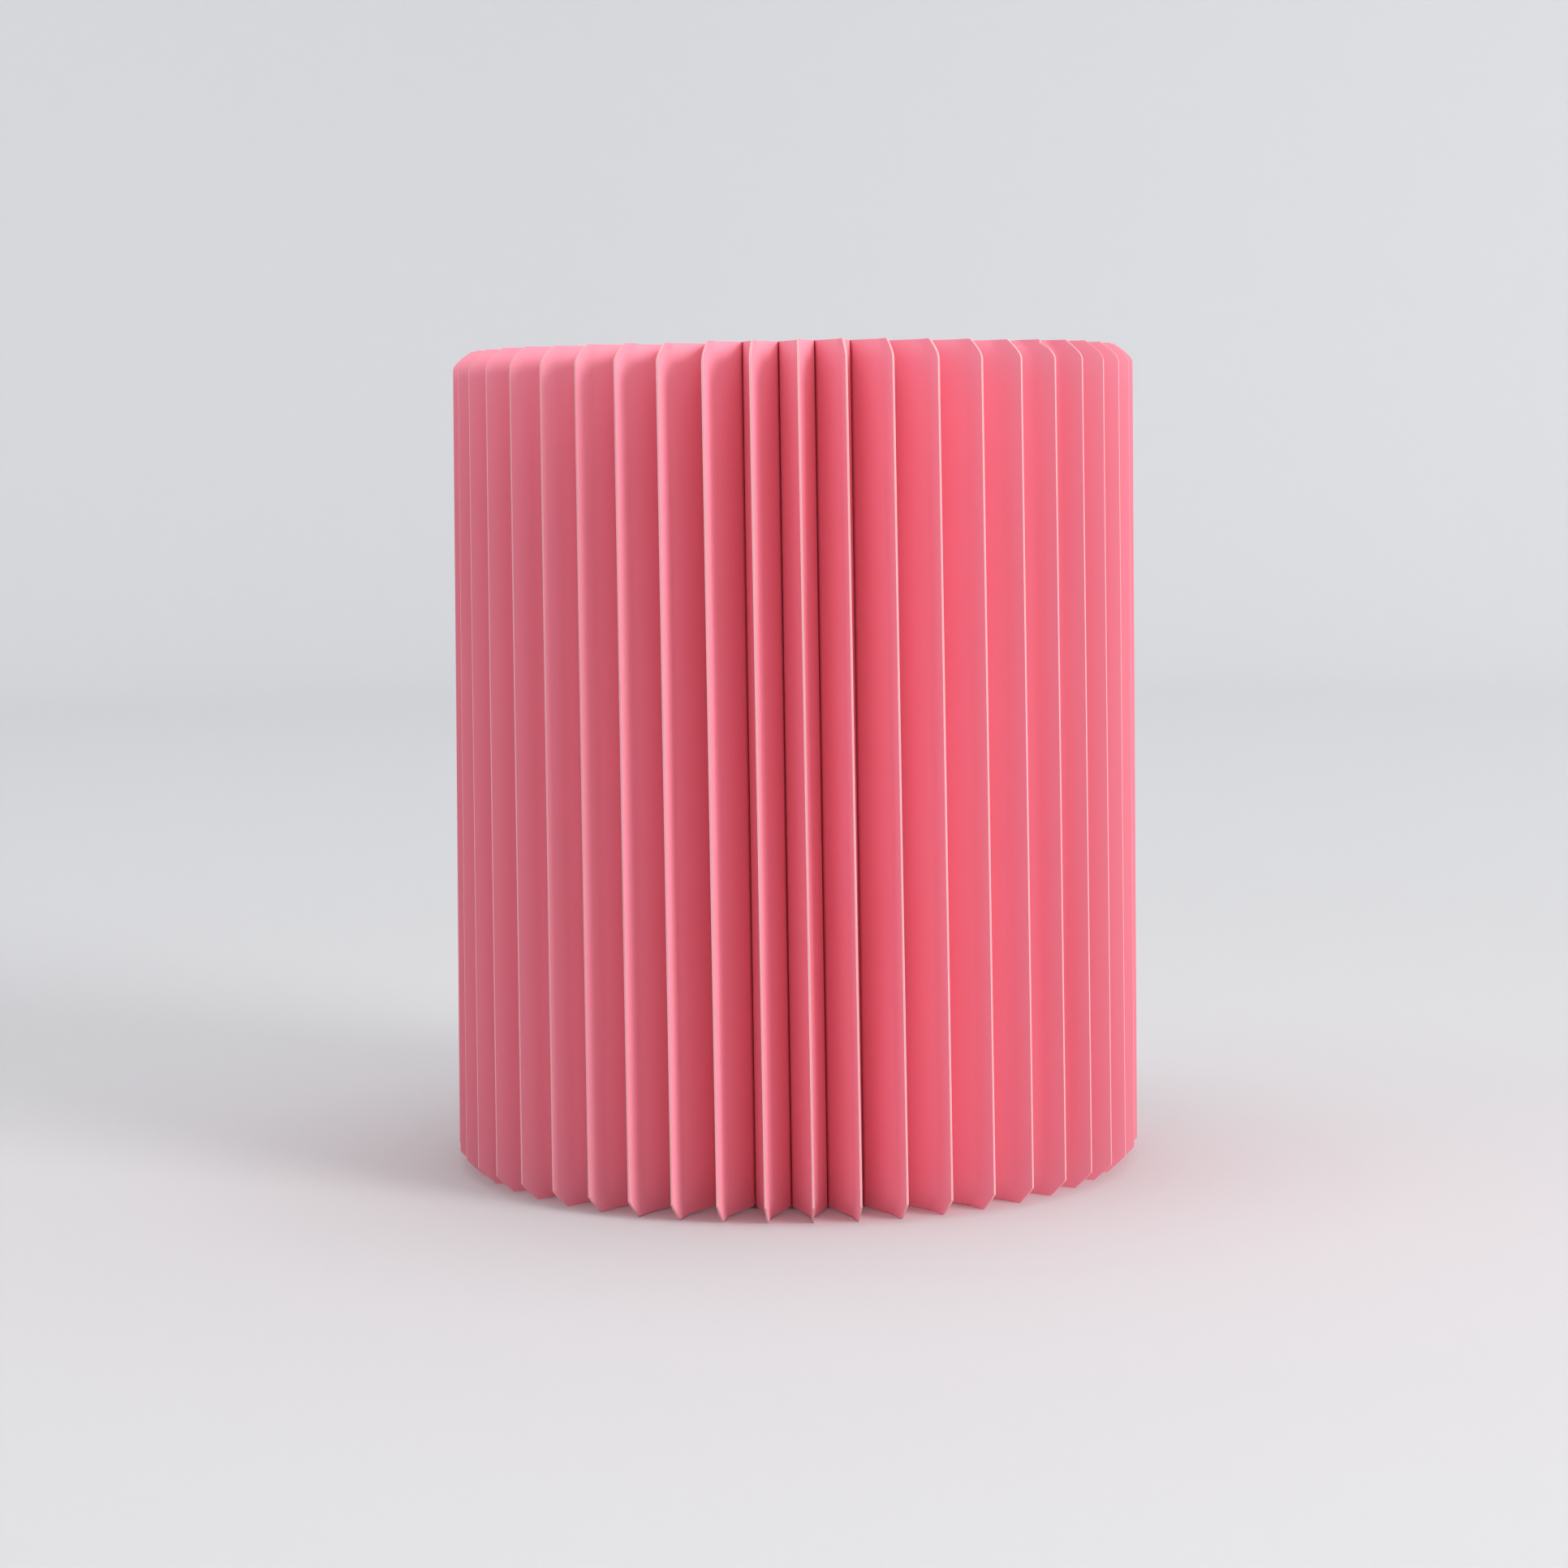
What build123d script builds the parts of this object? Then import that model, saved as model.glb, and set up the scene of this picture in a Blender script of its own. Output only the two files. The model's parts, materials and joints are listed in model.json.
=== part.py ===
from build123d import *
import os
from math import cos, radians, sin, sqrt

# Table lantern with a pleated paper shade over a battery tea light. All sizes in mm.
# The origin is the centre of the base on the table, +Z is up and the front faces -Y.

# shade
leaf_count = 48
shade_height = 210.0        # the short side of an A4 sheet
ridge_radius = 88.0
fold_radius = 65.9          # back of the inner folds
fold_flat = 0.8             # width of the flattened back of a fold
paper = 0.3
glue_land = 6.8             # strip along the ridge where two leaves are glued together
corner_cut = 4.6            # both ends of a ridge are trimmed at 45 degrees
front_ridge_turn = 1.45     # the ridge nearest the front stands this many degrees towards +X

# hoops glued behind the folds
hoop_thickness = 1.5
hoop_width = 6.0
hoop_levels = {"lower_hoop": 2.6, "upper_hoop": 198.0}

# base disc with the ring that seats the light
base_radius = 64.9
base_thickness = 2.0
seat_radius = 19.05
seat_wall = 1.5
seat_height = 4.0

# tea light: outside and shell
light_radius = 18.75
shell_height = 15.0
shell_wall = 1.5
shell_floor = 3.0

# tea light: coin cell, its well and its bayonet door, all on one off-centre axis
cell_x = -3.0
cell_radius = 10.0
cell_height = 3.2
cell_can_height = 2.6       # the wide positive can; the narrower negative cap stands on it
cell_cap_radius = 8.5
cell_level = 2.6            # underside of the cell above the light's underside
well_radius = 10.2
well_wall = 1.0
well_height = 2.0           # how far its wall stands above the shell's floor
well_gap = 3.6              # opening in the wall for the positive contact
door_hole_radius = 12.2
door_radius = 12.0
door_inset = 0.2
door_thickness = 2.2
lip_thickness = 1.1
recess_radius = 13.8
tab_count = 3
tab_radius = 13.5
tab_thickness = 1.1
tab_width = 5.0
notch_width = 6.0
door_turn = 38.0            # from locked to the notches in the lip
coin_slot_length = 9.0
coin_slot_width = 1.6
coin_slot_depth = 0.9

# tea light: switch
switch_x = 13.6
switch_travel = 3.0
nub_width = 2.0
nub_length = 3.0
slot_play = 0.2
slider_width = 3.6
slider_length = 9.6
slider_thickness = 1.2
slider_lift = 0.1           # running clearance over the floor

# tea light: contacts and LED
strip = 0.3
strip_width = 3.0
plus_arm_level = 8.0        # tops of the contact arms above the light's underside
minus_arm_level = 6.5
minus_riser_x = 9.6
minus_foot_end = 11.4
led_radius = 2.5
led_flange_radius = 2.9
led_flange_height = 1.0
led_height = 8.6
leg_offset = 1.27
leg_width = 0.5

# tea light: cap and flame
cap_underside = 13.8
cap_spigot_radius = 17.05   # the part that drops inside the shell
cap_hole_radius = 2.6
cap_edge_level = 16.2
cap_rim_level = 17.2
cap_rim_radius = 17.4
dish_level = 15.4
dish_radius = 4.4           # flat middle of the dish, where the flame stands
flame_height = 20.6
flame_wall = 0.9
flame_base_radius = 3.6
flame_belly_radius = 4.8
flame_belly_height = 6.5

light_level = base_thickness
half_pitch = 180.0 / leaf_count


def level(height):
    """Horizontal plane at a height above the light's underside."""
    return Plane.XY.offset(light_level + height)


def upright(height):
    """Upright plane through the axis, its own origin at a height above the light's underside."""
    return Plane((0, 0, light_level + height), x_dir=(1, 0, 0), z_dir=(0, -1, 0))


def keep(part, name):
    """Label a finished piece and write it as its own STEP file."""
    part.label = name
    export_step(part, f"parts/{name}.step")


def ridge_point(radius, side):
    """Point on the ridge plane to one side of a leaf, in the leaf's own plane."""
    return (radius * cos(radians(half_pitch)), side * radius * sin(radians(half_pitch)))


def leaf(name, turn):
    """One sheet creased into a V whose fold points at the axis, its outer corners trimmed."""
    outward = Vector(cos(radians(turn)), sin(radians(turn)), 0)
    flat = Plane((0, 0, 0), x_dir=outward, z_dir=(0, 0, 1))
    profile = Plane((0, 0, 0), x_dir=outward, z_dir=flat.y_dir * -1)
    corner_x = ridge_point(ridge_radius, 1)[0]
    with BuildPart() as sheet:
        with BuildSketch(flat):
            with BuildLine():
                Polyline(
                    ridge_point(ridge_radius, 1),
                    ridge_point(ridge_radius - glue_land, 1),
                    (fold_radius, fold_flat / 2),
                    (fold_radius, -fold_flat / 2),
                    ridge_point(ridge_radius - glue_land, -1),
                    ridge_point(ridge_radius, -1),
                )
                offset(amount=paper, side=Side.LEFT, kind=Kind.INTERSECTION)
            make_face()
        extrude(amount=shade_height)
        with BuildSketch(profile):
            with Locations((corner_x, 0), (corner_x, shade_height)):
                Rectangle(corner_cut * sqrt(2), corner_cut * sqrt(2), rotation=45)
        extrude(amount=ridge_radius * sin(radians(half_pitch)) + paper, both=True, mode=Mode.SUBTRACT)
    keep(sheet.part, name)


def hoop(name, height):
    """Flat card ring whose rim the folds are glued to."""
    with BuildPart() as ring:
        with BuildSketch(Plane.XY.offset(height)):
            Circle(fold_radius)
            Circle(fold_radius - hoop_width, mode=Mode.SUBTRACT)
        extrude(amount=hoop_thickness)
    keep(ring.part, name)


def bars(radius, width, start):
    """Radial bars about the cell's axis that end on a circle, for the open sketch."""
    with Locations((cell_x, 0)):
        with PolarLocations(radius / 2, tab_count, start_angle=start):
            Rectangle(radius, width)
        Circle(radius, mode=Mode.INTERSECT)


def bent_strip(name, *points):
    """Contact strip bent along points in the plane of the light's axis and the switch."""
    with BuildPart() as contact:
        with BuildSketch(upright(0).offset(-strip_width / 2)):
            with BuildLine():
                Polyline(*points)
                offset(amount=strip, side=Side.LEFT, kind=Kind.INTERSECTION)
            make_face()
        extrude(amount=strip_width)
    keep(contact.part, name)


os.makedirs("parts", exist_ok=True)

for number in range(leaf_count):
    turn = -90 + front_ridge_turn + half_pitch + 2 * half_pitch * number
    leaf(f"leaf_{number + 1:02d}", turn)

for hoop_name, hoop_level in hoop_levels.items():
    hoop(hoop_name, hoop_level)

with BuildPart() as base_disc:
    with BuildSketch(Plane.XY):
        Circle(base_radius)
    extrude(amount=base_thickness)
    with BuildSketch(Plane.XY.offset(base_thickness)):
        Circle(seat_radius + seat_wall)
        Circle(seat_radius, mode=Mode.SUBTRACT)
    extrude(amount=seat_height)
    fillet(base_disc.edges().filter_by(GeomType.CIRCLE).group_by(Axis.Z)[-1], radius=seat_wall / 4)
keep(base_disc.part, "base_disc")

with BuildPart() as light_shell:
    with BuildSketch(level(0)):
        Circle(light_radius)
    extrude(amount=shell_height)
    fillet(light_shell.edges().sort_by(Axis.Z)[0], radius=shell_wall / 3)
    with BuildSketch(level(shell_floor)):
        Circle(light_radius - shell_wall)
    extrude(amount=shell_height, mode=Mode.SUBTRACT)
    with BuildSketch(level(shell_floor)):
        with Locations((cell_x, 0)):
            Circle(well_radius + well_wall)
        with Locations((cell_x - well_radius, 0)):
            Rectangle(3 * well_wall, well_gap, mode=Mode.SUBTRACT)
    extrude(amount=well_height)
    with BuildSketch(level(cell_level)):
        with Locations((cell_x, 0)):
            Circle(well_radius)
    extrude(amount=shell_height, mode=Mode.SUBTRACT)
    with BuildSketch(level(lip_thickness)):
        with Locations((cell_x, 0)):
            Circle(recess_radius)
    extrude(amount=cell_level - lip_thickness, mode=Mode.SUBTRACT)
    with BuildSketch(level(0)):
        bars(recess_radius, notch_width, door_turn)
        with Locations((cell_x, 0)):
            Circle(door_hole_radius)
    extrude(amount=lip_thickness, mode=Mode.SUBTRACT)
    with BuildSketch(level(0)):
        with Locations((switch_x, 0)):
            Rectangle(nub_width + 2 * slot_play, nub_length + switch_travel + 2 * slot_play)
    extrude(amount=shell_floor, mode=Mode.SUBTRACT)
keep(light_shell.part, "light_shell")

with BuildPart() as battery_door:
    with BuildSketch(level(door_inset + door_thickness - tab_thickness)):
        bars(tab_radius, tab_width, 0)
    extrude(amount=tab_thickness)
    with BuildSketch(level(door_inset)):
        with Locations((cell_x, 0)):
            Circle(door_radius)
    extrude(amount=door_thickness)
    with BuildSketch(level(door_inset)):
        with Locations((cell_x, 0)):
            Rectangle(coin_slot_length, coin_slot_width)
    extrude(amount=coin_slot_depth, mode=Mode.SUBTRACT)
keep(battery_door.part, "battery_door")

with BuildPart() as coin_cell:
    with BuildSketch(level(cell_level)):
        with Locations((cell_x, 0)):
            Circle(cell_radius)
    extrude(amount=cell_can_height)
    fillet(coin_cell.edges().group_by(Axis.Z)[0], radius=cell_can_height / 6)
    with BuildSketch(level(cell_level)):
        with Locations((cell_x, 0)):
            Circle(cell_cap_radius)
    extrude(amount=cell_height)
keep(coin_cell.part, "coin_cell")

bent_strip(
    "contact_plus",
    (cell_x - cell_radius, shell_floor),
    (cell_x - cell_radius, plus_arm_level - strip),
    (leg_width - leg_offset, plus_arm_level - strip),
)

bent_strip(
    "contact_minus",
    (minus_foot_end, shell_floor + strip),
    (minus_riser_x + strip, shell_floor + strip),
    (minus_riser_x + strip, minus_arm_level),
    (cell_x, minus_arm_level),
)

with BuildPart() as switch_slider:
    with BuildSketch(level(0)):
        with Locations((switch_x, -switch_travel / 2)):
            Rectangle(nub_width, nub_length)
    extrude(amount=shell_floor + slider_lift)
    with BuildSketch(level(shell_floor + slider_lift)):
        with Locations((switch_x, -switch_travel / 2)):
            Rectangle(slider_width, slider_length)
    extrude(amount=slider_thickness)
keep(switch_slider.part, "switch_slider")

with BuildPart() as light_cap:
    with BuildSketch(upright(0)):
        with BuildLine():
            Polyline(
                (dish_radius, dish_level),
                (cap_hole_radius, dish_level),
                (cap_hole_radius, cap_underside),
                (cap_spigot_radius, cap_underside),
                (cap_spigot_radius, shell_height),
                (light_radius, shell_height),
                (light_radius, cap_edge_level),
            )
            Spline(
                (light_radius, cap_edge_level),
                (cap_rim_radius, cap_rim_level),
                (dish_radius, dish_level),
                tangents=((0, 1), (-1, 0)),
            )
        make_face()
    revolve(axis=Axis.Z)
keep(light_cap.part, "light_cap")

with BuildPart() as led:
    with BuildSketch(level(cap_underside - led_flange_height)):
        Circle(led_flange_radius)
    extrude(amount=led_flange_height)
    with BuildSketch(level(cap_underside - led_flange_height)):
        Circle(led_radius)
    extrude(amount=led_height)
    fillet(led.edges().sort_by(Axis.Z)[-1], radius=0.96 * led_radius)
    for leg_x, leg_end in ((-leg_offset, plus_arm_level), (leg_offset, minus_arm_level)):
        with BuildSketch(level(leg_end)):
            with Locations((leg_x, 0)):
                Rectangle(leg_width, leg_width)
        extrude(amount=cap_underside - led_flange_height - leg_end)
keep(led.part, "led")

with BuildPart() as flame_lens:
    with BuildSketch(upright(dish_level)):
        with BuildLine():
            outside = Spline(
                (flame_base_radius, 0),
                (flame_belly_radius, flame_belly_height),
                (0, flame_height),
                tangents=((0.3, 1), (-0.25, 1)),
            )
            inside = Spline(
                (flame_base_radius - flame_wall, 0),
                (flame_belly_radius - flame_wall, flame_belly_height),
                (0, flame_height - 2 * flame_wall),
                tangents=((0.3, 1), (-0.25, 1)),
            )
            Line(outside @ 0, inside @ 0)
            Line(outside @ 1, inside @ 1)
        make_face()
    revolve(axis=Axis.Z)
keep(flame_lens.part, "flame_lens")
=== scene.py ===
import json
from math import cos, pi, radians, sin
import bpy
import numpy as np
from mathutils import Euler, Matrix, Vector


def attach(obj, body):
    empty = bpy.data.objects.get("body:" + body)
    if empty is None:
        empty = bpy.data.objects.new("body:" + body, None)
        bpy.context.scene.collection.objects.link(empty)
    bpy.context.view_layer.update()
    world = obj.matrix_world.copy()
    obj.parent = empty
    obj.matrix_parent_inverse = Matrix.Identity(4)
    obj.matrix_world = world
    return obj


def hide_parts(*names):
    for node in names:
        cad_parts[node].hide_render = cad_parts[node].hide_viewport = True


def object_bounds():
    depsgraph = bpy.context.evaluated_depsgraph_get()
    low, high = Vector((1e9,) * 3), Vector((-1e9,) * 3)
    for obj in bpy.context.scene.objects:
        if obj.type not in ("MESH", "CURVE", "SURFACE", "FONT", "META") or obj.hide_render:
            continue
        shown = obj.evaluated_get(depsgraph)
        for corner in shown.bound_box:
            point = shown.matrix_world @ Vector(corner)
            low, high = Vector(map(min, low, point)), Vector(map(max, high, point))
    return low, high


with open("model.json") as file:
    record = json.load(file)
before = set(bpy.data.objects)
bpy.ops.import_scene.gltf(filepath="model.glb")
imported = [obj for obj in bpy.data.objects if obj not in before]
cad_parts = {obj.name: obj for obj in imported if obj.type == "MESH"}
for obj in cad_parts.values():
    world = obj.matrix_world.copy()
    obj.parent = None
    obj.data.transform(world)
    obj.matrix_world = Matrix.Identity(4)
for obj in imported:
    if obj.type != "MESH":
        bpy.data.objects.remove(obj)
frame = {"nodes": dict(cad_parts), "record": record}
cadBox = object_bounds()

scene = bpy.context.scene
low, high = (np.array(corner, float) for corner in cadBox)
shadeHeight = high[2] - low[2]
ridgeRadius = (high[0] - low[0]) / 2
print("frame loaded, shade", round(shadeHeight, 4), "high and", round(2 * ridgeRadius, 4), "across")


# a node's output that adds Math nodes as it is reckoned with
class Signal:
    def __init__(self, finish, output):
        self.finish = finish
        self.output = output

    def math(self, operation, first, second, clamp=False):
        settings = {"operation": operation, "use_clamp": clamp}
        return self.finish.add("ShaderNodeMath", settings, {0: first, 1: second})

    def __add__(self, other):
        return self.math("ADD", self, other)

    def __sub__(self, other):
        return self.math("SUBTRACT", self, other)

    def __rsub__(self, other):
        return self.math("SUBTRACT", other, self)

    def __mul__(self, other):
        return self.math("MULTIPLY", self, other)

    __radd__ = __add__
    __rmul__ = __mul__

    def limited(self):                       # held between 0 and 1
        return self.math("ADD", self, 0.0, clamp=True)


# a material with its shader; keywords set the shader's own sockets
class Finish:
    def __init__(self, name, **constants):
        self.material = bpy.data.materials.new(name)
        self.material.use_nodes = True
        self.tree = self.material.node_tree
        self.shader = self.tree.nodes["Principled BSDF"]
        for socket, value in constants.items():
            self.shader.inputs[socket.replace("_", " ")].default_value = value

    # any node: its type, its settings, which are set first, and what its sockets get
    def add(self, kind, settings=None, inputs=None, output=0):
        node = self.tree.nodes.new(kind)
        for name, value in (settings or {}).items():
            setattr(node, name, value)
        for key, value in (inputs or {}).items():
            self.feed(node.inputs[key], value)
        return Signal(self, node.outputs[output])

    def feed(self, socket, value):
        if isinstance(value, Signal):
            self.tree.links.new(value.output, socket)
        else:
            socket.default_value = value

    def place(self):
        return self.add("ShaderNodeTexCoord", output="Object")

    def noise(self, scale, detail=3.0, roughness=0.5, where=None, stretch=None):
        where = where or self.place()
        if stretch:
            where = self.add("ShaderNodeMapping", {}, {"Vector": where, "Scale": stretch})
        return self.add("ShaderNodeTexNoise", {},
                        {"Vector": where, "Scale": scale, "Detail": detail, "Roughness": roughness})

    def blend(self, factor, first, second):
        return self.add("ShaderNodeMix", {"data_type": "RGBA"}, {0: factor, 6: first, 7: second}, output=2)

    # colour, roughness and bump; what is None stays as the shader has it
    def paint(self, colour, roughness=None, height=None, depth=0.0, strength=1.0):
        self.feed(self.shader.inputs["Base Color"], colour)
        if roughness is not None:
            self.feed(self.shader.inputs["Roughness"], roughness)
        if height is not None:
            bump = self.add("ShaderNodeBump", {},
                            {"Strength": strength, "Distance": depth, "Height": height})
            self.feed(self.shader.inputs["Normal"], bump)
        return self.material


def rgb(red, green, blue):
    return (red, green, blue, 1.0)


paperLook = {
    "dyed": rgb(0.89, 0.318, 0.405),      # face of the sheet
    "dyedDeep": rgb(0.875, 0.298, 0.38),
    "cutEdgeHighlight": rgb(0.76, 0.40, 0.41),         # cut edge, paler than the dyed faces, and a painted highlight along the ridge
    "glued": rgb(0.88, 0.322, 0.41),      # band along the ridge, stiff with glue; its paler tone is also a painted highlight for light falling on the ridge side
    "gluedFrom": 0.0142,                  # metres from the fold
    "gluedBlend": 0.0022,
    "creaseShade": rgb(0.50, 0.014, 0.036),    # painted shade, dark at the bottom of the fold
    "creaseShadeReach": 0.0018,
    "mottleSize": 45.0,
    "mottleShare": 1.2,                   # how much each noise says in the dye's depth
    "fibreSize": 900.0,
    "fibreShare": 0.5,
    "fibreStretch": (1.0, 0.35, 1.0),
    "evenness": 0.4,                      # taken off their sum
    "rough": 0.74,
    "roughSpread": 0.12,
    "toothSize": 2600.0,
    "toothDepth": 0.000018,
    "toothStrength": 0.8,
    "gloss": 0.25,
    "fuzz": 0.03,
    "fuzzRough": 0.6,
}


def shadePaper():
    look = paperLook
    paper = Finish("shadePaper", Specular_IOR_Level=look["gloss"], Sheen_Weight=look["fuzz"],
                   Sheen_Roughness=look["fuzzRough"])
    sheet = paper.add("ShaderNodeUVMap", {"uv_map": "sheet"})
    cutEdgeHighlight = paper.add("ShaderNodeAttribute", {"attribute_name": "cutEdge"}, output="Fac")
    fromFold = paper.add("ShaderNodeAttribute", {"attribute_name": "fromFold"}, output="Fac")
    mottle = paper.noise(look["mottleSize"], 4.0, 0.6)
    fibre = paper.noise(look["fibreSize"], 2.0, 0.5, sheet, look["fibreStretch"])
    tooth = paper.noise(look["toothSize"], 3.0, 0.65, sheet)
    deep = (mottle * look["mottleShare"] + fibre * look["fibreShare"] - look["evenness"]).limited()
    # painted highlight: the glued band beside each ridge is painted paler, as a lit band
    gluedHighlightMask = ((fromFold - look["gluedFrom"]) * (1 / look["gluedBlend"])).limited()
    # painted shade: the face is painted darker towards the bottom of the fold
    creaseShadeMask = (1 - fromFold * (1 / look["creaseShadeReach"])).limited()
    face = paper.blend(gluedHighlightMask, paper.blend(deep, look["dyed"], look["dyedDeep"]), look["glued"])
    face = paper.blend(creaseShadeMask * creaseShadeMask, face, look["creaseShade"])
    # the cut edges get a paler colour: partly the paper's own, partly a painted highlight on the ridges
    return paper.paint(paper.blend(cutEdgeHighlight, face, look["cutEdgeHighlight"]), mottle * look["roughSpread"] + look["rough"],
                       tooth + fibre * look["fibreShare"], look["toothDepth"], look["toothStrength"])


# grey board or dyed board: fine specks over a slow cloud
cardLook = {
    "rough": 0.74,
    "roughSpread": 0.12,
    "speckShare": 1.6,
    "cloudSize": 38.0,
    "cloudShare": 0.6,
    "evenness": 0.75,
    "depth": 0.00003,
    "strength": 0.7,
    "gloss": 0.3,
}


def plainCard(name, pale, dark, grain):
    look = cardLook
    card = Finish(name, Specular_IOR_Level=look["gloss"])
    speck = card.noise(grain, 5.0, 0.7)
    cloud = card.noise(look["cloudSize"], 3.0, 0.5)
    mask = (speck * look["speckShare"] + cloud * look["cloudShare"] - look["evenness"]).limited()
    return card.paint(card.blend(mask, pale, dark), speck * look["roughSpread"] + look["rough"],
                      speck, look["depth"], look["strength"])


# moulded parts: flow marks that run upwards, and a fine eggshell grain
mouldedLook = {
    "grain": 1500.0,
    "flowSize": 60.0,
    "flowStretch": (1.0, 1.0, 0.4),
    "flowShare": 1.4,
    "evenness": 0.2,
    "roughSpread": 0.14,
    "depth": 0.00001,
    "strength": 0.35,
}


def mouldedPlastic(name, pale, dark, rough, **constants):
    look = mouldedLook
    plastic = Finish(name, **constants)
    speck = plastic.noise(look["grain"], 2.0, 0.5)
    flow = plastic.noise(look["flowSize"], 3.0, 0.5, None, look["flowStretch"])
    mask = (flow * look["flowShare"] - look["evenness"]).limited()
    return plastic.paint(plastic.blend(mask, pale, dark),
                         flow * look["roughSpread"] + (rough - look["roughSpread"] / 2),
                         speck, look["depth"], look["strength"])


metalLook = {
    "brushSize": 700.0,
    "roughSpread": 0.2,
    "depth": 0.000006,
    "strength": 0.4,
}


def brushedMetal(name, pale, dark, rough, stretch):
    look = metalLook
    bright = Finish(name, Metallic=1.0)
    brushed = bright.noise(look["brushSize"], 3.0, 0.6, None, stretch)
    return bright.paint(bright.blend(brushed, pale, dark),
                        brushed * look["roughSpread"] + (rough - look["roughSpread"] / 2),
                        brushed, look["depth"], look["strength"])


# one finish for each of the record's slots: pale and dark tone, then grain or roughness
finishes = {
    "shade_paper": shadePaper(),
    "base_card": plainCard("baseCard", rgb(0.60, 0.58, 0.545), rgb(0.52, 0.495, 0.455), 420.0),
    "hoop_card": plainCard("hoopCard", rgb(0.84, 0.34, 0.41), rgb(0.77, 0.29, 0.36), 520.0),
    "light_case": mouldedPlastic("lightCase", rgb(0.62, 0.61, 0.585), rgb(0.57, 0.555, 0.525), 0.42),
    "light_wax": mouldedPlastic("lightWax", rgb(0.68, 0.63, 0.52), rgb(0.62, 0.565, 0.45), 0.5,
                                Subsurface_Weight=0.3, Subsurface_Scale=0.004),
    "switch": mouldedPlastic("switchPlastic", rgb(0.035, 0.035, 0.038), rgb(0.05, 0.05, 0.054), 0.5),
    "cell_steel": brushedMetal("cellSteel", rgb(0.74, 0.74, 0.75), rgb(0.62, 0.62, 0.63), 0.28,
                               (1.0, 0.08, 1.0)),
    "contact_brass": brushedMetal("contactBrass", rgb(0.82, 0.66, 0.36), rgb(0.72, 0.56, 0.28), 0.3,
                                  (0.1, 1.0, 1.0)),
    "led_epoxy": mouldedPlastic("ledEpoxy", rgb(0.95, 0.88, 0.62), rgb(0.93, 0.83, 0.52), 0.12,
                                Transmission_Weight=0.7, IOR=1.5),
    "flame_plastic": mouldedPlastic("flamePlastic", rgb(0.98, 0.84, 0.60), rgb(0.97, 0.74, 0.42), 0.35,
                                    Transmission_Weight=0.55, IOR=1.46),
}
print("finishes made:", len(finishes))


shade = {
    "leaves": 48,
    "frontRidge": 1.45,          # degrees, the front ridge's place at mid height, towards +X
    "pitchWaves": ((5, 0.31, 3.83), (8, 0.13, 1.28)),   # waves round, degrees, phase
    "ridgeNudge": 0.03,          # degrees, each ridge's own
    "twist": 1.46,               # degrees that the ridges lean back over the height
    "gather": 0.019,             # how much narrower the top is than the foot
    "gatherLevel": 0.53,         # share of the height where the radius is the frame's
    "lean": 0.0010,              # the top stands this far over towards +X
    "foldShare": 0.7515,         # fold radius over ridge radius
    "halfAngle": 20.2,           # degrees, slope of a leaf's panels
    "paper": 0.00023,
    "gap": 0.000012,             # glue line, half of it on each leaf
    "land": 0.0068,              # glued strip along the ridge
    "landBend": 0.0004,
    "foldRound": 0.00038,        # round back of the fold, then its pinched part
    "pinch": 0.0022,
    "pinchAngle": 2.0,
    "pinchBend": 0.00012,
    "sectionSteps": 8000,        # steps in which a leaf's section is summed
    "cutHigh": 0.0045,           # trimmed corner, up the ridge and into the sheet
    "cutDeep": 0.0048,
    "cutBow": (1.12, 1.5),       # foot and top: above 1 the trimmed corner bulges
    "cutRows": 9,
    "middleRows": 22,
    "acrossPoints": 38,          # points from the fold to a ridge
    "bow": 0.00016,              # how far a panel bows, and its waves up the height
    "bowWaves": 1.3,
    "lift": 0.00035,             # the feet stand this high in three stretches round the shade
    "liftWaves": 3,
    "liftPhase": 2.4,
    "topNudge": 0.00012,
    "foldLift": 0.0006,          # the foot's edge curls up this much towards the fold
    "foldLiftReach": 0.012,
    "foldLiftShape": 1.5,
    "proudest": 13.0,            # degrees, where the top stands a little proud
    "proudWidth": 13.0,
    "proud": 0.0004,
    "nicked": {5: 1, 6: -1},     # leaves either side of the ridge with a nick, and which edge
    "nickDeep": 0.0010,
    "nickDown": 0.0009,          # below the top, and its half height
    "nickHalf": 0.0005,
    "sheetShift": 0.31,          # moves the grain along from leaf to leaf
    "sharpFrom": 38.0,           # degrees between faces from which an edge is sharp
}
pitch = 2 * pi / shade["leaves"]
dice = np.random.default_rng(11)
ridgeNudge = radians(shade["ridgeNudge"]) * dice.standard_normal(shade["leaves"])
panelBow = shade["bow"] * dice.standard_normal((shade["leaves"], 2, 2))
topNudge = shade["topNudge"] * dice.standard_normal(shade["leaves"])
footCurl = dice.uniform(0.35, 1.0, shade["leaves"])


# a ridge's angle from -Y towards +X: even pitch, two slow waves round the shade, its own nudge
def ridgeAngle(number, share):
    turn = pitch * number
    waves = sum(radians(size) * sin(count * turn + phase) for count, size, phase in shade["pitchWaves"])
    own = ridgeNudge[number % shade["leaves"]]
    return radians(shade["frontRidge"]) + turn + waves + own - radians(shade["twist"]) * (share - 0.5)


# the shade's ridge radius at a share of its height: narrower as it rises
def radiusAt(share):
    return ridgeRadius * (1 + shade["gather"] * (shade["gatherLevel"] - share))


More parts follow.
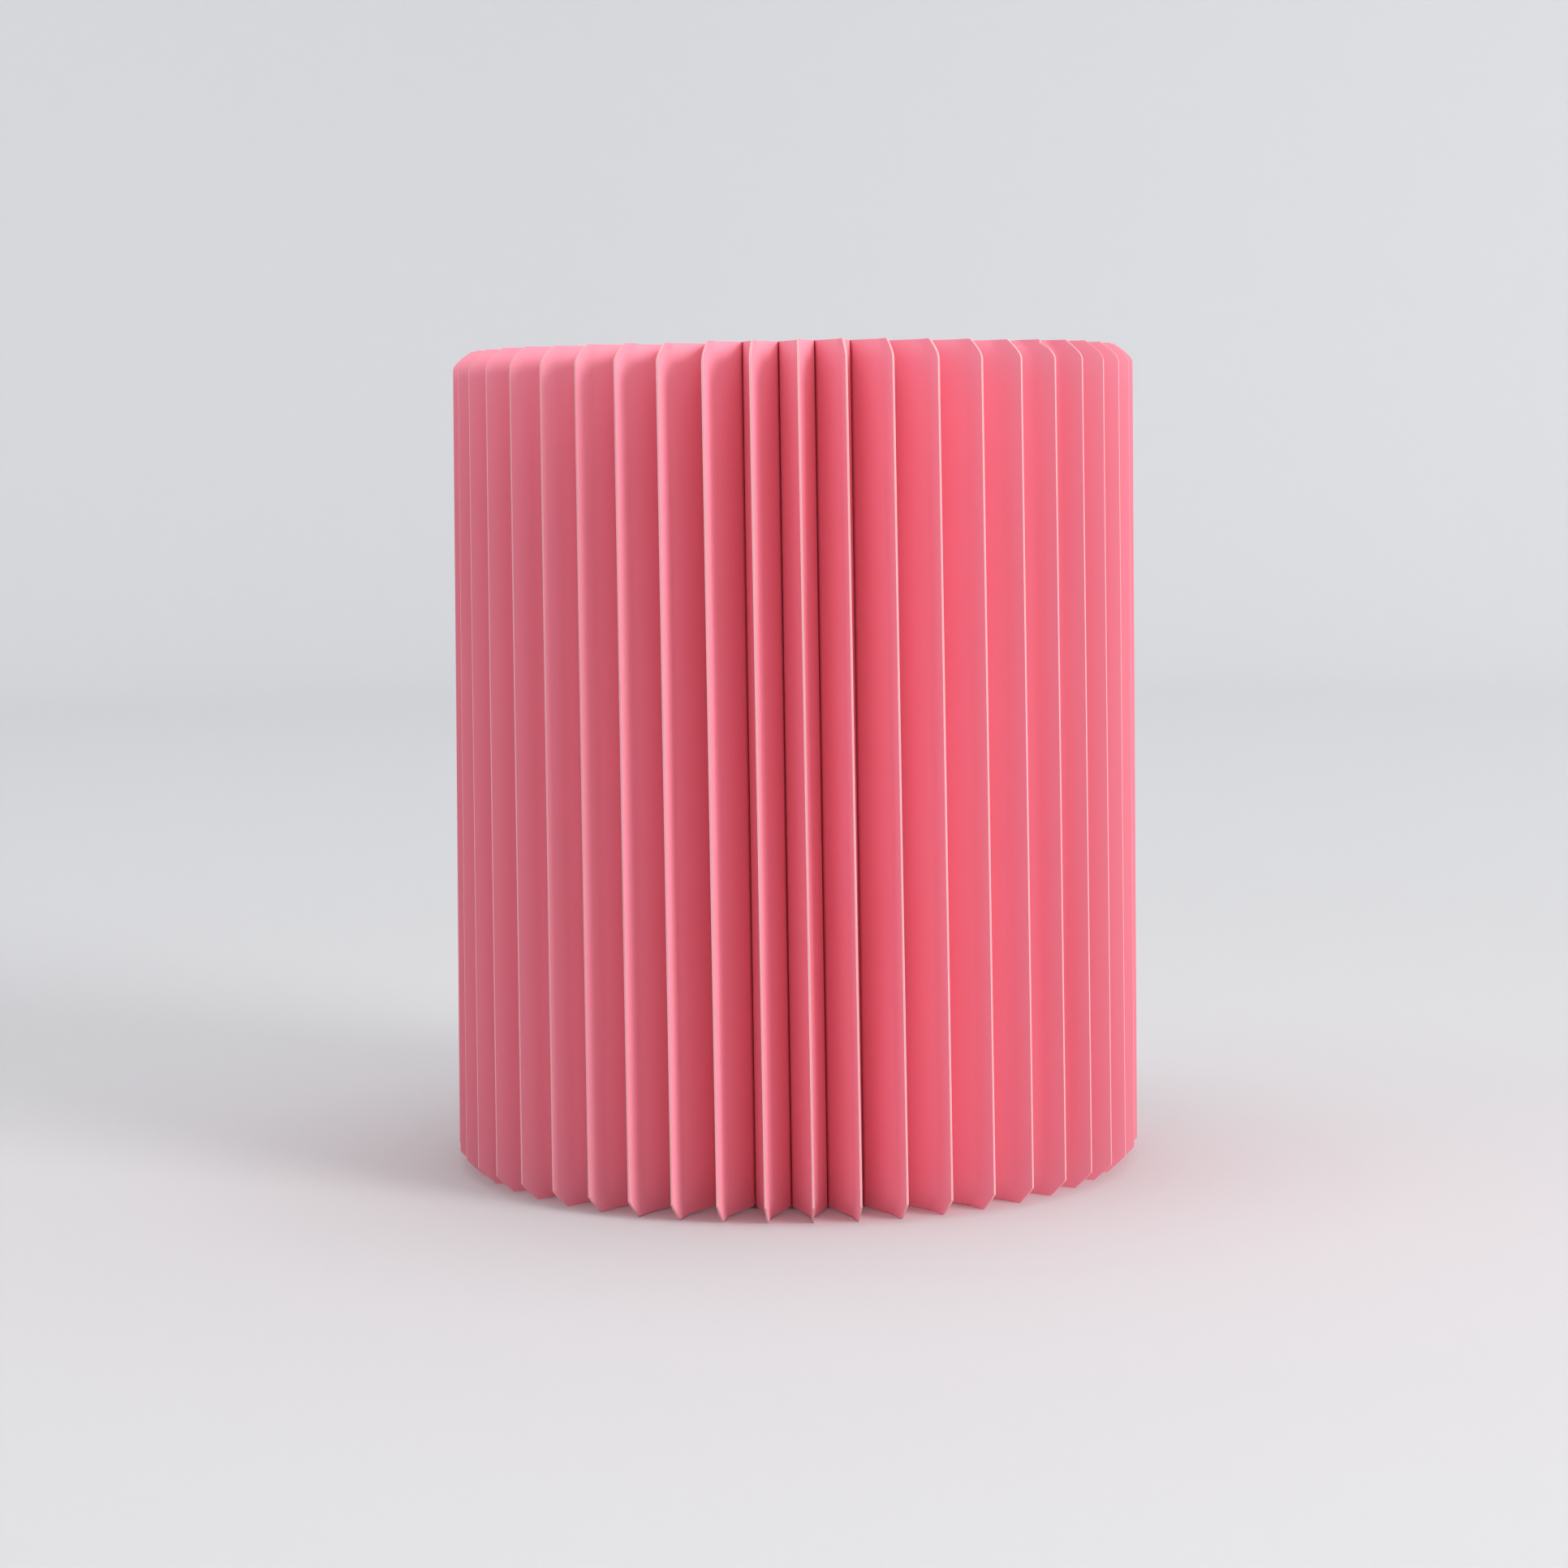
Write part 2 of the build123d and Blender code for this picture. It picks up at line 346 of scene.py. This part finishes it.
# half section of a leaf: a line whose slope drops from square-on at the fold to nearly nothing
# in the pinch, rises to the panel's and falls to the ridge plane's; summed along its length and
# scaled to 1 by 1
def halfSection():
    width = ridgeRadius * (1 - shade["foldShare"])
    along = np.linspace(0, width, shade["sectionSteps"])
    slope = radians(shade["halfAngle"])
    fromPinch = (along - shade["pinch"]) / shade["pinchBend"]
    pinched = (radians(shade["pinchAngle"]) - slope) / (1 + np.exp(fromPinch))
    atFold = (pi / 2 - slope) * np.exp(-(along / shade["foldRound"]) ** 2)
    atRidge = (pitch / 2 - slope) / (1 + np.exp((width - shade["land"] - along) / shade["landBend"]))
    angle = slope + pinched + atFold + atRidge
    t = np.linspace(0, 1, shade["acrossPoints"])
    t = 0.5 - 0.5 * np.cos(pi * t)                       # closer together at both ends
    lines = [np.interp(t, along / width, np.cumsum(step)) for step in (np.cos(angle), np.sin(angle))]
    x, y = [(line - line[0]) / (line[-1] - line[0]) for line in lines]
    return t, x, y


# how far the sheet's outer edge draws in over the trimmed corners: share of the cut ** bow
def trimmed(level):
    nearEnd = np.minimum(level, shadeHeight - level)
    share = np.clip(1 - nearEnd / shade["cutHigh"], 0, 1)
    bow = np.where(level < shadeHeight / 2, *shade["cutBow"])
    return shade["cutDeep"] * share ** bow


# levels of a leaf's rows: a quarter cosine over each trimmed corner, even steps between
def leafRows():
    corner = shade["cutHigh"] * (1 - np.cos(np.linspace(0, pi / 2, shade["cutRows"])))
    middle = np.linspace(shade["cutHigh"], shadeHeight - shade["cutHigh"], shade["middleRows"])[1:-1]
    return np.concatenate([corner, middle, (shadeHeight - corner)[::-1]])


# a leaf's back, x outwards and y along the ring: the half section mirrored about the fold and
# stretched from the fold to the ridge planes, plus the panels' bow, a squared sine
def leafBack(number, rows, half, p, xs, ys):
    share = rows / shadeHeight
    radius = radiusAt(share)
    down = (shadeHeight - rows - shade["nickDown"]) / shade["nickHalf"]
    nick = shade["nickDeep"] * np.exp(-down ** 2)
    fold = (radius * shade["foldShare"])[:, None]
    edge = (radius - trimmed(rows))[:, None] - nick[:, None] * (p * shade["nicked"].get(number, 0) > 0)
    x = fold + (edge * np.cos(half)[:, None] - fold) * xs
    y = (edge * np.sin(half)[:, None] - shade["gap"]) * ys
    steady = np.where(p < 0, panelBow[number, 0, 0], panelBow[number, 0, 1])
    wave = np.where(p < 0, panelBow[number, 1, 0], panelBow[number, 1, 1])
    bow = steady + wave * np.sin(2 * pi * share * shade["bowWaves"] + number)[:, None]
    return x, y + bow * np.sin(pi * np.abs(p)) ** 2


# height of each point: the row's level, the leaf's own lift, its top's nudge and its foot's curl
def leafHeights(number, rows, p):
    lift = shade["lift"] * max(0.0, sin(pitch * number * shade["liftWaves"] + shade["liftPhase"])) ** 2
    fromProud = (np.degrees(pitch * (number + 0.5)) - shade["proudest"] + 180) % 360 - 180
    proud = shade["proud"] * np.exp(-(fromProud / shade["proudWidth"]) ** 2)
    top = topNudge[number] - lift + proud
    curl = shade["foldLift"] * footCurl[number] * np.exp(-(rows / shade["foldLiftReach"]) ** 2)
    nearFold = np.concatenate([1 - np.abs(p), 1 - np.abs(p[::-1])]) ** shade["foldLiftShape"]
    return (rows + lift + top * rows / shadeHeight)[:, None] + curl[:, None] * nearFold


# quads of a closed sheet: rings joined upwards, and back to front across the foot and the head;
# a face is cut edge where it joins the sheet's two sides
def sheetFaces(levels, across):
    ring = 2 * across
    j, i = np.meshgrid(np.arange(levels - 1), np.arange(ring), indexing="ij")
    nextI = (i + 1) % ring
    walls = np.stack([j * ring + i, j * ring + nextI, (j + 1) * ring + nextI, (j + 1) * ring + i],
                     axis=-1).reshape(-1, 4)
    k = np.arange(across - 1)
    foot = np.stack([k, ring - 1 - k, ring - 2 - k, k + 1], axis=-1)
    head = foot[:, ::-1] + (levels - 1) * ring
    isCut = np.concatenate([np.isin(i.reshape(-1), (across - 1, ring - 1)),
                            np.ones(2 * (across - 1), bool)])
    return np.concatenate([walls, foot, head])[:, ::-1], isCut


# a closed sheet: its back and front run round as one ring at each level; the front is the back
# moved square to itself by the paper's thickness, and all is turned to the leaf's middle plane
def leafMesh(number):
    rows = leafRows()
    share = rows / shadeHeight
    left = np.array([ridgeAngle(number, s) for s in share])
    right = np.array([ridgeAngle(number + 1, s) for s in share])
    middle, half = (left + right) / 2, (right - left) / 2
    t, xShare, yShare = halfSection()
    p = np.concatenate([-t[:0:-1], t])                   # -1 left ridge, 0 fold, 1 right ridge
    xs = np.concatenate([xShare[:0:-1], xShare])
    ys = np.concatenate([-yShare[:0:-1], yShare])
    x, y = leafBack(number, rows, half, p, xs, ys)
    alongX, alongY = np.gradient(x, axis=1), np.gradient(y, axis=1)
    size = np.hypot(alongX, alongY)
    frontX = x + shade["paper"] * alongY / size
    frontY = y - shade["paper"] * alongX / size
    ringX = np.concatenate([x, frontX[:, ::-1]], axis=1)
    ringY = np.concatenate([y, frontY[:, ::-1]], axis=1)
    swing = middle[:, None]
    worldX = ringX * np.sin(swing) + ringY * np.cos(swing) + shade["lean"] * share[:, None]
    worldY = -ringX * np.cos(swing) + ringY * np.sin(swing)
    points = np.stack([worldX, worldY, leafHeights(number, rows, p)], axis=-1).reshape(-1, 3)
    faces, isCut = sheetFaces(len(rows), len(p))
    width = 2 * np.hypot(ridgeRadius * (1 - shade["foldShare"]), ridgeRadius * sin(pitch / 2))
    across = np.concatenate([p, p[::-1]]) * width / 2
    sheetX = np.broadcast_to(across + number * shade["sheetShift"], ringX.shape).reshape(-1)
    sheetY = np.broadcast_to(rows[:, None], ringX.shape).reshape(-1)
    fromFold = np.abs(sheetX - number * shade["sheetShift"])
    return points, faces, isCut, fromFold, np.stack([sheetX, sheetY], axis=-1)


def solid(name, points, faces, material, body):
    mesh = bpy.data.meshes.new(name)
    mesh.from_pydata(points.tolist(), [], faces.tolist())
    mesh.materials.append(material)
    mesh.shade_smooth()
    mesh.set_sharp_from_angle(angle=radians(shade["sharpFrom"]))
    piece = bpy.data.objects.new(name, mesh)
    scene.collection.objects.link(piece)
    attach(piece, body)
    return piece


def makeShade():
    for number in range(shade["leaves"]):
        points, faces, isCut, fromFold, sheet = leafMesh(number)
        name = f"leaf_{number + 1:02d}"
        piece = solid("paper_" + name, points, faces, finishes["shade_paper"], "shade")
        mesh = piece.data
        mark = mesh.attributes.new("cutEdge", "FLOAT", "FACE")
        mark.data.foreach_set("value", isCut.astype(np.float32))
        # distance from the fold: it places the painted crease shade and the painted highlight of the band
        # by the ridge
        creaseShade = mesh.attributes.new("fromFold", "FLOAT", "POINT")
        creaseShade.data.foreach_set("value", fromFold.astype(np.float32))
        flat = mesh.uv_layers.new(name="sheet")
        corners = np.zeros(len(mesh.loops), np.int32)
        mesh.loops.foreach_get("vertex_index", corners)
        flat.data.foreach_set("uv", sheet[corners].astype(np.float32).reshape(-1))
        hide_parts(name)


makeShade()
print("leaves made:", shade["leaves"])


hoops = {
    "levels": {"lower_hoop": 0.0026, "upper_hoop": 0.198},
    "thickness": 0.0015,
    "width": 0.006,
    "slack": 0.00004,            # between the rim and the backs of the folds
    "edge": 0.00018,             # how far the card's cut edges are broken
    "around": 192,
}


# a ring of card: its section is a rectangle with cut corners, turned about the shade's own middle
def makeHoops():
    for name, level in hoops["levels"].items():
        share = (level + hoops["thickness"] / 2) / shadeHeight
        outer = radiusAt(share) * shade["foldShare"] - hoops["slack"]
        inner, edge, deep = outer - hoops["width"], hoops["edge"], hoops["thickness"]
        radius = np.array([inner + edge, inner, inner, inner + edge,
                           outer - edge, outer, outer, outer - edge])
        height = level + np.array([0, edge, deep - edge, deep, deep, deep - edge, edge, 0])
        turn = np.linspace(0, 2 * pi, hoops["around"] + 1)[:-1, None]
        corners = len(radius)
        points = np.stack([radius * np.cos(turn) + shade["lean"] * share, radius * np.sin(turn),
                           np.broadcast_to(height, (hoops["around"], corners))], axis=-1).reshape(-1, 3)
        j, i = np.meshgrid(np.arange(hoops["around"]), np.arange(corners), indexing="ij")
        nextJ, nextI = (j + 1) % hoops["around"], (i + 1) % corners
        faces = np.stack([j * corners + i, j * corners + nextI, nextJ * corners + nextI,
                          nextJ * corners + i], axis=-1).reshape(-1, 4)
        piece = solid("card_" + name, points, faces, finishes["hoop_card"], "shade")
        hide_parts(name)


makeHoops()
print("hoops made:", len(hoops["levels"]))


# carried-over nodes take their finish from the record's slots
def dressNodes():
    slots = {row["node"]: row["material_slot"] for row in frame["record"]["subparts"]}
    for name, node in frame["nodes"].items():
        if not name.startswith("leaf_") and name not in hoops["levels"]:
            node.data.materials.clear()
            node.data.materials.append(finishes[slots[name]])


dressNodes()
print("inner pieces dressed")


stage = {
    "hub": 0.02,                 # radius of the innermost ring of the floor
    "floorRadius": 1.7,
    "floorRings": 12,
    "sweepRadius": 0.9,
    "sweepSteps": 24,
    "wallHeight": 2.2,
    "around": 96,
    "floorColour": rgb(0.56, 0.561, 0.569),
    "wallColour": rgb(0.64, 0.645, 0.655),
    "fadeFrom": 0.5,             # distance from the shade where the floor starts to pale
    "fadeOver": 1.3,
    "wallPaintedLight": rgb(0.72, 0.722, 0.737),   # painted light: paler towards +X, the key lamp's side
    "paintedLightFrom": -0.2,
    "paintedLightOver": 1.6,
    "gloss": 0.15,
    "rough": 0.9,
}


# the floor's tone goes over to the wall's with distance, and painted light makes the wall paler towards +X
def stagePaint():
    paint = Finish("floorPaint", Specular_IOR_Level=stage["gloss"], Roughness=stage["rough"])
    away = paint.add("ShaderNodeVectorMath", {"operation": "LENGTH"}, {0: paint.place()}, output="Value")
    fade = ((away - stage["fadeFrom"]) * (1 / stage["fadeOver"])).limited()
    across = paint.add("ShaderNodeSeparateXYZ", {}, {0: paint.place()}, output="X")
    # painted light: the wall's +X side is painted paler
    paintedLightSide = ((across - stage["paintedLightFrom"]) * (1 / stage["paintedLightOver"])).limited()
    wall = paint.blend(paintedLightSide, stage["wallColour"], stage["wallPaintedLight"])
    return paint.paint(paint.blend(fade, stage["floorColour"], wall))


# floor and wall: a flat run, a quarter circle and an upright run, turned about the axis
def makeStage():
    flatRun = np.linspace(stage["hub"], stage["floorRadius"], stage["floorRings"])
    turn = np.linspace(0, pi / 2, stage["sweepSteps"] + 1)[1:]
    sweepR = stage["floorRadius"] + stage["sweepRadius"] * np.sin(turn)
    sweepZ = stage["sweepRadius"] * (1 - np.cos(turn))
    profileR = np.concatenate([flatRun, sweepR, sweepR[-1:]])
    profileZ = np.concatenate([0 * flatRun, sweepZ, [stage["wallHeight"]]])
    around = np.linspace(0, 2 * pi, stage["around"] + 1)[:-1]
    x = profileR[:, None] * np.cos(around)
    y = profileR[:, None] * np.sin(around)
    z = np.broadcast_to(profileZ[:, None], x.shape)
    points = np.stack([x, y, z], axis=-1).reshape(-1, 3)
    points = np.concatenate([points, [[0, 0, 0]]])
    rings, steps = x.shape
    j, i = np.meshgrid(np.arange(rings - 1), np.arange(steps), indexing="ij")
    nextI = (i + 1) % steps
    quads = np.stack([j * steps + i, (j + 1) * steps + i, (j + 1) * steps + nextI, j * steps + nextI],
                     axis=-1).reshape(-1, 4)
    centre = len(points) - 1
    hub = [(centre, a, (a + 1) % steps) for a in range(steps)]
    mesh = bpy.data.meshes.new("floor")
    mesh.from_pydata(points.tolist(), [], quads.tolist() + hub)
    mesh.shade_smooth()
    mesh.materials.append(stagePaint())
    floor = bpy.data.objects.new("floor", mesh)
    scene.collection.objects.link(floor)


# lamps: degrees round from the camera towards +X and above the level, metres, watts
lamps = {
    "key": {"turn": 52.5, "rise": 21.5, "away": 2.3, "size": 1.0, "power": 35.0,
            "colour": (1.0, 0.985, 0.97)},
    "fill": {"turn": -72.0, "rise": 20.0, "away": 2.4, "size": 2.0, "power": 7.0,
             "colour": (1.0, 1.0, 1.0)},
    "top": {"turn": 105.0, "rise": 88.0, "away": 2.4, "size": 2.2, "power": 24.0,
            "colour": (1.0, 1.0, 1.0)},
}
air = {
    "colour": (0.96, 0.97, 1.0, 1.0),
    "strength": 0.82,
}


# every lamp is a soft disk on a sphere about the shade's middle, facing it
def makeLamps():
    for name, setting in lamps.items():
        turn, rise, away = radians(setting["turn"]), radians(setting["rise"]), setting["away"]
        lamp = bpy.data.lights.new(name, "AREA")
        lamp.shape = "DISK"
        lamp.size = setting["size"]
        lamp.energy = setting["power"]
        lamp.color = setting["colour"]
        light = bpy.data.objects.new(name, lamp)
        scene.collection.objects.link(light)
        middle = Vector((0, 0, shadeHeight / 2))
        light.location = middle + away * Vector((cos(rise) * sin(turn), -cos(rise) * cos(turn), sin(rise)))
        light.rotation_euler = (middle - light.location).to_track_quat("-Z", "Y").to_euler()


def makeAir():
    world = bpy.data.worlds.new("studioAir")
    world.use_nodes = True
    background = world.node_tree.nodes["Background"]
    background.inputs["Color"].default_value = air["colour"]
    background.inputs["Strength"].default_value = air["strength"]
    scene.world = world


makeStage()
makeLamps()
makeAir()
print("stage and lights ready")


# a short telephoto a little under the top of the shade, looking slightly down
view = {
    "away": 10.1057,             # all lengths in ridge radii at the foot of the shade
    "high": 2.0988,
    "aside": -0.0285,
    "down": 5.662,               # degrees
    "roll": -0.714,
    "lens": 79.45,               # millimetres, as is the sensor
    "sensor": 36.0,
    "nearest": 0.01,
}


def makeCamera():
    lens = bpy.data.cameras.new("view")
    lens.lens = view["lens"]
    lens.sensor_width = view["sensor"]
    lens.clip_start = view["nearest"]
    camera = bpy.data.objects.new("view", lens)
    scene.collection.objects.link(camera)
    unit = radiusAt(0)
    camera.location = (view["aside"] * unit, -view["away"] * unit, view["high"] * unit)
    tilt = Euler((radians(90 - view["down"]), 0, 0)).to_matrix()
    camera.rotation_euler = (tilt @ Matrix.Rotation(radians(view["roll"]), 3, "Z")).to_euler()
    scene.camera = camera


makeCamera()
scene.view_settings.view_transform = "Standard"
scene.cycles.max_bounces = 16                # deep pleats pass light on many times
scene.cycles.diffuse_bounces = 10
print("camera placed")
